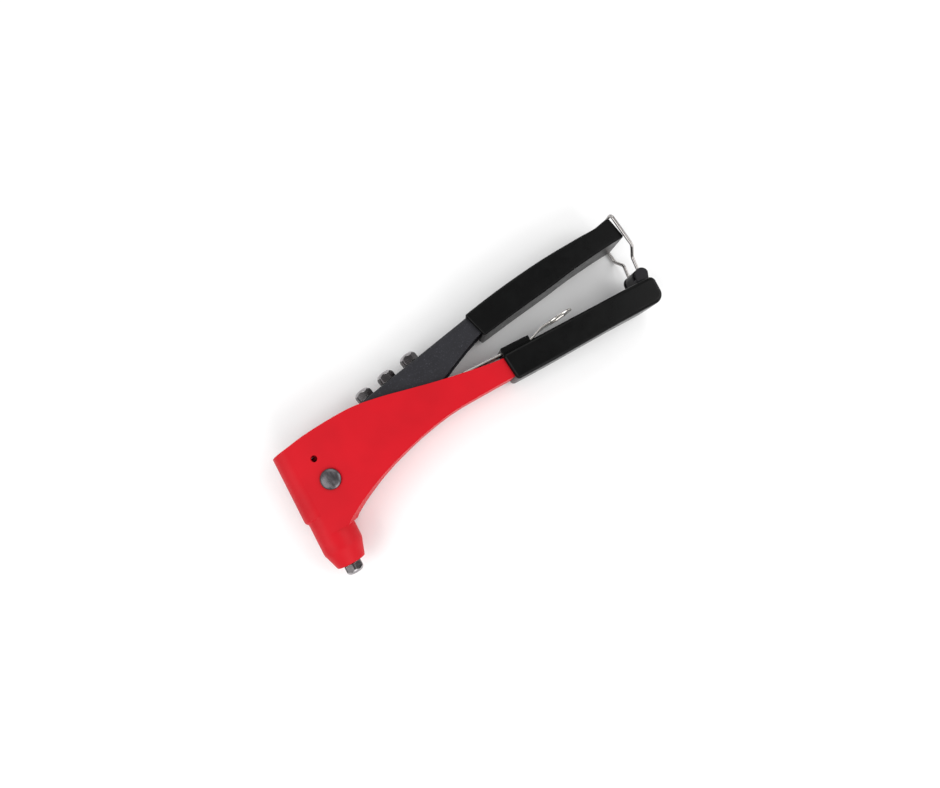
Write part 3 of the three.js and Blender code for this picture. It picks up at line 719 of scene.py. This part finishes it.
# %% [markdown]
# ## The latch
#
# A bent spring wire holds the handles closed. Its two ends sit in an eye at the rear of the lower
# grip. The wire is made as a bending machine makes it: straight runs, and a small bend at each
# corner. The eye is a short round bar on a foot, with a slot for each leg of the wire.

# %% The latch eye and the wire
EYE_LOW, EYE_HIGH = bench_box("latch_lug")
EYE_R = EYE_HIGH.y - LATCH.y
WIRE_R = 1.0
WIRE_BORE_R = WIRE_R + 0.35
WIRE_BEND = 2.6
SLOT_FLOOR = 1.4         # from the wire's axis down to the slots' floor
LEG_IN = 7.5
LEG_OUT = 15


def latch_eye():
    foot = EYE_LOW.y
    outline = ([(LATCH.x - EYE_R - 0.6, foot)] + arc(LATCH.xy, EYE_R, 180, 0, 28)
               + [(LATCH.x + EYE_R - 1.2, foot)])
    bm = plate(outline, EYE_LOW.z, EYE_HIGH.z)
    bore = turned(rod(WIRE_BORE_R, -LEG_IN, LEG_IN), LATCH, ALONG_PIN, steps=32)
    reach = 2 * EYE_R
    gap = [(LATCH.x - reach, LATCH.y - SLOT_FLOOR), (LATCH.x + reach, LATCH.y - SLOT_FLOOR),
           (LATCH.x + reach, LATCH.y + reach), (LATCH.x - reach, LATCH.y + reach)]
    slots = [plate(gap, middle - WIRE_BORE_R, middle + WIRE_BORE_R) for middle in (-LEG_IN, LEG_IN)]
    return cut(bm, bore, *slots)


def latch_wire():
    leg = [(LATCH.x, LATCH.y, 2.5), (LATCH.x, LATCH.y, LEG_IN), (228.2, 39, LEG_IN),
           (227.6, 44.6, LEG_OUT), (224.3, 66.6, LEG_OUT)]
    return bent_wire(leg + [(x, y, -z) for x, y, z in leg[::-1]], WIRE_R, WIRE_BEND)


settle(latch_eye(), "latch_eye", "latch_lug", EYE, edge=0.4, segments=3)
settle(latch_wire(), "latch_wire_loop", "latch_wire", WIRE, edge=0)

# %% [markdown]
# ## The wrench
#
# The nosepiece wrench is pressed from bright strip: a flat tongue, a double bend and a ring with
# a hexagonal hole. Its plan and its side view have the wrench in common, as with the body.

# %% The wrench
RING_R = WRENCH_HIGH.z
RING_X = WRENCH_HIGH.x - RING_R
RING_HEX = 11.4
STRIP_RISE = [(147.6, 0), (149.6, 0.3), (151.6, 0.9), (156, 2.8), (158, 3.6), (160, 3.9), (182.3, 6.2)]


def hex_bar(across, low, high):
    """A hexagonal bar on the y axis."""
    corners = arc((0, 0), across / math.sqrt(3), 30, 330, 5)
    return lying_plate(corners, low, high)


def wrench():
    under = shifted([(WRENCH_LOW.x, 0)] + STRIP_RISE, 0, WRENCH_LOW.y)
    low, high = WRENCH_LOW.y - 6, WRENCH_HIGH.y + 6
    neck_angle = math.degrees(math.asin(STRIP_HALF / RING_R))
    plan = (arc((WRENCH_LOW.x + STRIP_HALF, 0), STRIP_HALF, 90, 270, 20)
            + arc((RING_X, 0), RING_R, neck_angle - 180, 180 - neck_angle, 56))
    hole = hex_bar(RING_HEX, low, high)
    bmesh.ops.translate(hole, verts=hole.verts, vec=(RING_X, 0, 0))
    strip = plate(under + shifted(under, 0, WRENCH_THICK)[::-1], -RING_R - 1, RING_R + 1)
    return cut(common(strip, lying_plate(plan, low, high)), hole)


settle(wrench(), "ring_wrench", "wrench", NICKEL, edge=0.35, segments=3)

# %% [markdown]
# ## The nosepieces
#
# A nosepiece is turned from round bar, and six flats are milled on its head. The flats are a
# hexagonal bar that the head and a turned crown have in common, so what is left between two
# flats is a narrow round strip. The thread is a row of fine grooves on the turned stem. The
# pieces are blackened. The crown's shoulder gets a paler finish that paints a highlight on it,
# and the fine bevels along the edges get a bright one that paints glints.

# %% Nosepieces
HEX_ACROSS = 11
HEX_HEIGHT = 6.8
STEM_LENGTH = 15.6
TIP_R = 2.6
TIP_LENGTH = 4
CROWN_R = 5.95           # the round bar that the hexagon is cut from
SHOULDER = [(0, 2.4), (0.2, 1.9), (0.5, 1.4), (0.9, 0.9), (1.4, 0.4), (1.9, 0.1), (2.2, 0)]
FITTED_BORE_R, FITTED_TWIST = 1.7, -19
SPARES = ((1.35, 21), (2.1, 26), (2.5, 22))      # bore radius and twist
# width of the edge bevels that carry the painted glints
GLINT_BEVEL = 0.28
PAINTED_HIGHLIGHT_SLOT = 1
PAINTED_GLINT_SLOT = 2


def threaded(outer, low, high, pitch=1.0, depth=0.4):
    """Grooves on a turned profile, from the low end to the high end."""
    profile = []
    for turn in range(int((high - low) / pitch)):
        profile += [(outer - depth, low + turn * pitch), (outer, low + (turn + 0.5) * pitch)]
    return profile + [(outer, high)]


def nosepiece(bore_r):
    """A hexagon head on the y axis with its threaded stem below, bored through."""
    shoulder = [(CROWN_R - drop, HEX_HEIGHT - rise) for drop, rise in SHOULDER]
    crown = [(0, 0), (CROWN_R - 0.7, 0), (CROWN_R, 0.7)] + shoulder + [(0, HEX_HEIGHT)]
    taper = TIP_LENGTH - STEM_LENGTH
    neck = STEM_R - 0.5
    stem = ([(0, -STEM_LENGTH), (TIP_R, -STEM_LENGTH), (STEM_R - 0.4, taper)]
            + threaded(STEM_R, taper, -1) + [(neck, -0.6), (neck, 0.5), (0, 0.5)])
    head = common(hex_bar(HEX_ACROSS, 0, HEX_HEIGHT), turned(crown, steps=72))
    mouth = HEX_HEIGHT + 0.2
    bore = [(0, -THROUGH), (bore_r, -THROUGH), (bore_r, mouth - 0.6), (bore_r + 0.6, mouth), (0, mouth)]
    bm = cut(join(head, turned(stem, steps=48)), turned(bore, steps=40))
    for face in bm.faces:
        middle = face.calc_center_median()
        # the crown's shoulder faces take the paler finish, a painted highlight
        if middle.y > HEX_HEIGHT - SHOULDER[0][1] and 0.05 < face.normal.y < 0.98:
            face.material_index = PAINTED_HIGHLIGHT_SLOT
    return bm


def stand(bm, twist, turn, foot):
    """Twists a piece about the y axis, leans it over, and stands it on its foot."""
    for angle, axis in ((math.radians(twist), "Y"), (turn, "Z")):
        bmesh.ops.rotate(bm, verts=bm.verts, cent=(0, 0, 0), matrix=Matrix.Rotation(angle, 3, axis))
    bmesh.ops.translate(bm, verts=bm.verts, vec=foot)
    return bm


def add_painted_highlights(piece):
    """Adds the paler finish that paints a highlight on the shoulder and the bright one that paints glints
    on the edges.
    """
    piece.data.materials.append(PAINTED_HIGHLIGHT)
    piece.data.materials.append(PAINTED_GLINT)
    # the edge bevels take the bright finish, painted glints
    piece.modifiers["broken_edges"].material = PAINTED_GLINT_SLOT
    return piece


fitted = stand(nosepiece(FITTED_BORE_R), FITTED_TWIST, math.pi, (BARREL_X, NOSE_Y - GAP, 0))
add_painted_highlights(settle(fitted, "nosepiece_in_use", "nosepiece_fitted", GUNMETAL, GLINT_BEVEL))
for number, (foot, (bore_r, twist)) in enumerate(zip(SPARE_FEET, SPARES), 1):
    spare = stand(nosepiece(bore_r), twist, TILT, on_edge(foot, GAP))
    add_painted_highlights(settle(spare, f"stored_nosepiece_{number}", f"nosepiece_spare_{number}",
                GUNMETAL, GLINT_BEVEL))

# %% [markdown]
# ## The pivot
#
# The pivot pin has a broad domed head on the near side. On the far side a washer and a ring hold
# it. Between the lever's cheeks a bush keeps its distance, and the opening spring coils round it.

# %% The pin and what is on it
PIN_LOW, PIN_HIGH = bench_box("pivot_pin")
PIN_R = 4
HEAD_R = PIN_HIGH.x
HEAD_UNDER = BODY_HALF + GAP
BRIM = 0.5               # height of the head below its dome
PIN_CHAMFER = 0.5
RINGS = (("spacer_bush", "pivot_bush", 5.6), ("flat_washer", "pin_washer", 6.4),
         ("pin_ring", "retaining_ring", 5.8))    # the last is the outer radius


def pivot_pin():
    rise = PIN_HIGH.z - HEAD_UNDER - BRIM
    dome = [(HEAD_R * math.cos(a), HEAD_UNDER + BRIM + rise * math.sin(a))
            for a in (math.pi / 2 * step / 10 for step in range(10))]
    profile = [(0, PIN_LOW.z), (PIN_R - PIN_CHAMFER, PIN_LOW.z), (PIN_R, PIN_LOW.z + PIN_CHAMFER),
               (PIN_R, HEAD_UNDER),
               (HEAD_R - 0.3, HEAD_UNDER), (HEAD_R, HEAD_UNDER + 0.3)] + dome + [(0, PIN_HIGH.z)]
    return turned(profile, axis=ALONG_PIN, steps=72)


settle(pivot_pin(), "domed_pivot_pin", "pivot_pin", PIN_STEEL, edge=0)
for name, node, outer in RINGS:
    low, high = bench_box(node)
    section = sleeve(PIN_HOLE_R, outer, low.z, high.z)
    settle(turned(section, axis=ALONG_PIN, closed=True), name, node, TURNED, edge=0)

# %% [markdown]
# ## Springs
#
# A coil spring is a ring spun round its axis while it climbs. The spin operator takes that climb
# as a small shift at each step. The opening spring also has two straight legs, which are pushed
# out from its last rings.

# %% Coil springs
SPRING_R, SPRING_WIRE_R, SPRING_HALF, SPRING_TURNS = 7, 0.7, 4, 5
UPPER_LEG = (131, 32.5)  # degrees at which the leg leaves, and its length
LOWER_LEG = (-100, 24)


def coil(centre, axis, side, radius, wire_r, low, high, turns, per_turn=28):
    """A helical wire between two heights, with its two end rings."""
    bm = bmesh.new()
    axis, side = Vector(axis), Vector(side)
    heading = axis.cross(side)
    start = Vector(centre) + side * radius + axis * low
    facing = Matrix.Translation(start) @ heading.to_track_quat("Z", "Y").to_matrix().to_4x4()
    bmesh.ops.create_circle(bm, segments=14, radius=wire_r, matrix=facing)
    first = list(bm.edges)
    steps = round(turns * per_turn)
    spun = bmesh.ops.spin(bm, geom=list(bm.verts) + first, cent=centre, axis=axis,
                          angle=2 * math.pi * turns, steps=steps, dvec=axis * (high - low) / steps)
    return bm, first, edges_of(spun["geom_last"])


def barrel_coil(node, radius, wire_r, turns):
    low, high = bench_box(node)
    bm, _, _ = coil((BARREL_X, 0, 0), (0, 1, 0), (1, 0, 0), radius, wire_r, low.y + wire_r,
                    high.y - wire_r, turns)
    return close_ends(bm)


def handle_spring():
    start, end = math.radians(UPPER_LEG[0]), math.radians(LOWER_LEG[0])
    turns = SPRING_TURNS + (LOWER_LEG[0] - UPPER_LEG[0]) / 360
    bm, first, last = coil((0, 0, 0), (0, 0, 1), (math.cos(start), math.sin(start), 0), SPRING_R,
                           SPRING_WIRE_R, -SPRING_HALF, SPRING_HALF, turns)
    push(bm, first, Vector((math.sin(start), -math.cos(start), 0)) * UPPER_LEG[1])
    push(bm, last, Vector((-math.sin(end), math.cos(end), 0)) * LOWER_LEG[1])
    return close_ends(bm)


settle(handle_spring(), "opening_spring", "handle_spring", SPRING, edge=0)
for name, node, radius, wire_r, turns in (("pusher_spring", "jaw_spring", 4.2, 0.5, 8),
                                          ("case_spring", "return_spring", 8.3, 0.6, 4)):
    settle(barrel_coil(node, radius, wire_r, turns), name, node, SPRING, edge=0)

# %% [markdown]
# ## Inside the barrel
#
# The jaw case slides in the barrel. Its inner cone closes two toothed jaws on the rivet's mandrel
# when the cams lift it. Every piece here is turned, and the jaws are a turned cone sawn in two.

# %% Turned pieces of the barrel
CASE_R = 7.2
CASE_BORE = 5.6
CASE_HOLE = 3.3
CONE_SLOPE = 0.19
MANDREL_R = 2.6
PUSHER_MOUTH_R = 1.6
TOOTH_R, TOOTH_DEPTH, TOOTH_PITCH = 1.3, 0.4, 0.8
JAW_SPLIT = 0.35         # from the saw cut's middle to each jaw
COLLAR_THICK = 3
CORNER = 0.3             # a small chamfer on a turned corner
CASE_TOP = CASE_HIGH.y
COLLAR_R = BARREL_X - CASE_LOW.x
COLLAR_FLAT = CASE_HIGH.x
COLLAR_Y = CAM_LIFT + GAP
CONE_Y = CASE_LOW.y + 0.5
BARREL_CENTRE = (BARREL_X, 0, 0)


def jaw_case():
    """A sleeve with an inner cone and a collar that is cut flat behind, clear of the spring."""
    back = CONE_Y + (CASE_BORE - CASE_HOLE) / CONE_SLOPE
    top = COLLAR_Y + COLLAR_THICK
    section = [(CASE_HOLE, CASE_LOW.y), (CASE_R - 1.2, CASE_LOW.y), (CASE_R, CASE_LOW.y + 2),
               (CASE_R, COLLAR_Y), (COLLAR_R - CORNER, COLLAR_Y), (COLLAR_R, COLLAR_Y + CORNER),
               (COLLAR_R, top - CORNER), (COLLAR_R - CORNER, top), (CASE_R, top), (CASE_R, CASE_TOP),
               (CASE_BORE, CASE_TOP), (CASE_BORE, back), (CASE_HOLE, CONE_Y)]
    behind = plate([(COLLAR_FLAT, 0), (0, 0), (0, FAR), (COLLAR_FLAT, FAR)], -THROUGH, THROUGH)
    return cut(turned(section, BARREL_CENTRE, closed=True), behind)


def jaw_pusher():
    low, high = bench_box("jaw_pusher")
    outer = high.x - BARREL_X
    return [(PUSHER_MOUTH_R, low.y), (outer - 1.2, low.y), (outer, low.y + 1.7), (outer, high.y - 0.2),
            (outer - 0.2, high.y), (MANDREL_R, high.y), (MANDREL_R, low.y + 2.7)]


def case_cap():
    low, high = bench_box("case_cap")
    plug, flange = CASE_BORE - GAP, high.x - BARREL_X
    return ([(MANDREL_R, low.y), (plug - 0.4, low.y)] + threaded(plug, low.y, CASE_TOP)
            + [(plug, CASE_TOP + GAP), (flange, CASE_TOP + GAP), (flange, high.y - 0.4),
               (flange - 0.4, high.y), (MANDREL_R + 0.5, high.y), (MANDREL_R, high.y - 0.5)])


def nose_bush():
    low, high = bench_box("nose_bush")
    outer, flange, inner = BUSH_R - GAP, BARREL_R - NOSE_WALL - GAP, STEM_R + GAP
    return [(inner + CORNER, low.y), (outer - CORNER, low.y), (outer, low.y + CORNER),
            (outer, SEAT_Y + GAP), (flange, SEAT_Y + GAP), (flange, high.y - 0.2),
            (flange - 0.2, high.y), (inner, high.y), (inner, low.y + CORNER)]


settle(jaw_case(), "sliding_jaw_case", "jaw_case", TURNED, edge=0)
for name, node, section in (("pusher_sleeve", "jaw_pusher", jaw_pusher()),
                            ("threaded_cap", "case_cap", case_cap()),
                            ("threaded_bush", "nose_bush", nose_bush())):
    settle(turned(section, BARREL_CENTRE, closed=True), name, node, TURNED, edge=0)

# %% The jaws and the spring seat


def jaw(node):
    """A toothed cone sawn in two; the node's box says which half this is."""
    low, high = bench_box(node)
    inner = threaded(TOOTH_R, low.y, high.y, TOOTH_PITCH, TOOTH_DEPTH)
    cone = [(CASE_HOLE + (y - CONE_Y) * CONE_SLOPE - GAP, y) for y in (high.y, low.y)]
    bm = turned(inner + cone, BARREL_CENTRE, closed=True, steps=48)
    side = 1 if low.x > BARREL_X else -1
    bmesh.ops.bisect_plane(bm, geom=list(bm.verts) + list(bm.edges) + list(bm.faces),
                           plane_co=(BARREL_X + side * JAW_SPLIT, 0, 0), plane_no=(side, 0, 0),
                           clear_inner=True)
    return close_ends(bm)


def spring_seat():
    low, high = bench_box("spring_seat")
    radius = BARREL_R - SHEET - SLIDE
    disc = turned([(0, low.y), (radius - 0.2, low.y), (radius, low.y + 0.2), (radius, high.y - 0.2),
                   (radius - 0.2, high.y), (0, high.y)], (FOLD_X, 0, 0))
    return cut(disc, turned(rod(CASE_R, low.y - 5, high.y + 5), BARREL_CENTRE))


for node in ("jaw_front", "jaw_rear"):
    settle(jaw(node), f"toothed_{node}", node, TURNED, edge=0)
settle(spring_seat(), "seat_disc", "spring_seat", TURNED, edge=0.1)
print("triangles before bevels:", sum(TRIANGLES.values()))

# %% [markdown]
# ## The studio
#
# The tool lies on a plain pale floor under broad soft lights. The camera looks straight down from
# close by, so its lens is wide and its axis misses the middle of the picture a little. That is
# what the small shift is for.

# %% The floor
FLOOR_HALF = 1.6
FLOOR_Z = CAD_BOX[0].z - 0.0004
bm = bmesh.new()
bmesh.ops.create_grid(bm, x_segments=1, y_segments=1, size=FLOOR_HALF)
bmesh.ops.translate(bm, verts=bm.verts, vec=(0, 0, FLOOR_Z))
floor = set_down(bm, "floor")
paper = Finish("white_paper", (0.93, 0.93, 0.93), 0.9, Specular_IOR_Level=0.1)
paper.paint(paper.mix(paper.spread(paper.noise(40), 0, 1), (0.925, 0.925, 0.925), (0.94, 0.94, 0.94)))
floor.data.materials.append(paper.material)
floor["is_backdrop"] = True

# %% The lights


def soft_light(name, place, aim, size, power):
    """A square area light that faces a point."""
    data = bpy.data.lights.new(name, "AREA")
    data.shape, data.size, data.energy = "SQUARE", size, power
    light = bpy.data.objects.new(name, data)
    light.location = place
    light.rotation_euler = (Vector(aim) - Vector(place)).to_track_quat("-Z", "Y").to_euler()
    bpy.context.scene.collection.objects.link(light)
    return light


MIDDLE = (0, 0, 0.02)
soft_light("left_light", (-0.86, -0.10, 0.80), MIDDLE, 0.8, 4.8)
soft_light("front_light", (0.05, -0.95, 0.62), MIDDLE, 0.8, 5.4)
soft_light("right_light", (0.85, -0.15, 0.75), MIDDLE, 0.8, 5.4)
soft_light("rear_light", (0.15, 0.95, 0.85), MIDDLE, 0.8, 3.4)
world = bpy.data.worlds.new("soft_room")
world.use_nodes = True
world.node_tree.nodes["Background"].inputs["Color"].default_value = (1, 1, 1, 1)
world.node_tree.nodes["Background"].inputs["Strength"].default_value = 0.50
bpy.context.scene.world = world
bpy.context.scene.view_settings.view_transform = "Standard"
print("lights:", len(bpy.data.lights))

# %% The camera
LENS_MM = 18.18
SHIFT_X = 0.016
SHIFT_Y = 0.0436
TURN = math.radians(26.8)
LENS_PLACE = (79.75, -10.16, 303)
camera_data = bpy.data.cameras.new("camera")
camera_data.sensor_width = 36
camera_data.lens = LENS_MM
camera_data.shift_x = SHIFT_X
camera_data.shift_y = SHIFT_Y
camera_data.clip_start = 0.01
camera = bpy.data.objects.new("camera", camera_data)
camera.location = TO_FRAME @ Vector(LENS_PLACE)
camera.rotation_euler = (0, 0, -TURN)
bpy.context.scene.collection.objects.link(camera)
bpy.context.scene.camera = camera
print("lens:", round(camera_data.lens, 2), "mm")

# %% [markdown]
# ## Sizes
#
# The box of the finished pieces is set against the box of the imported model, and how far each
# side has grown is printed in millimetres. The finished pieces have to fill the same box as the
# imported model.

# %% Print how far the box has grown
SHOWN_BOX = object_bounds()
growth = [[round((b - a) * 1000, 2) for a, b in zip(c, s)] for c, s in zip(CAD_BOX, SHOWN_BOX)]
print("grown by, mm:", growth)
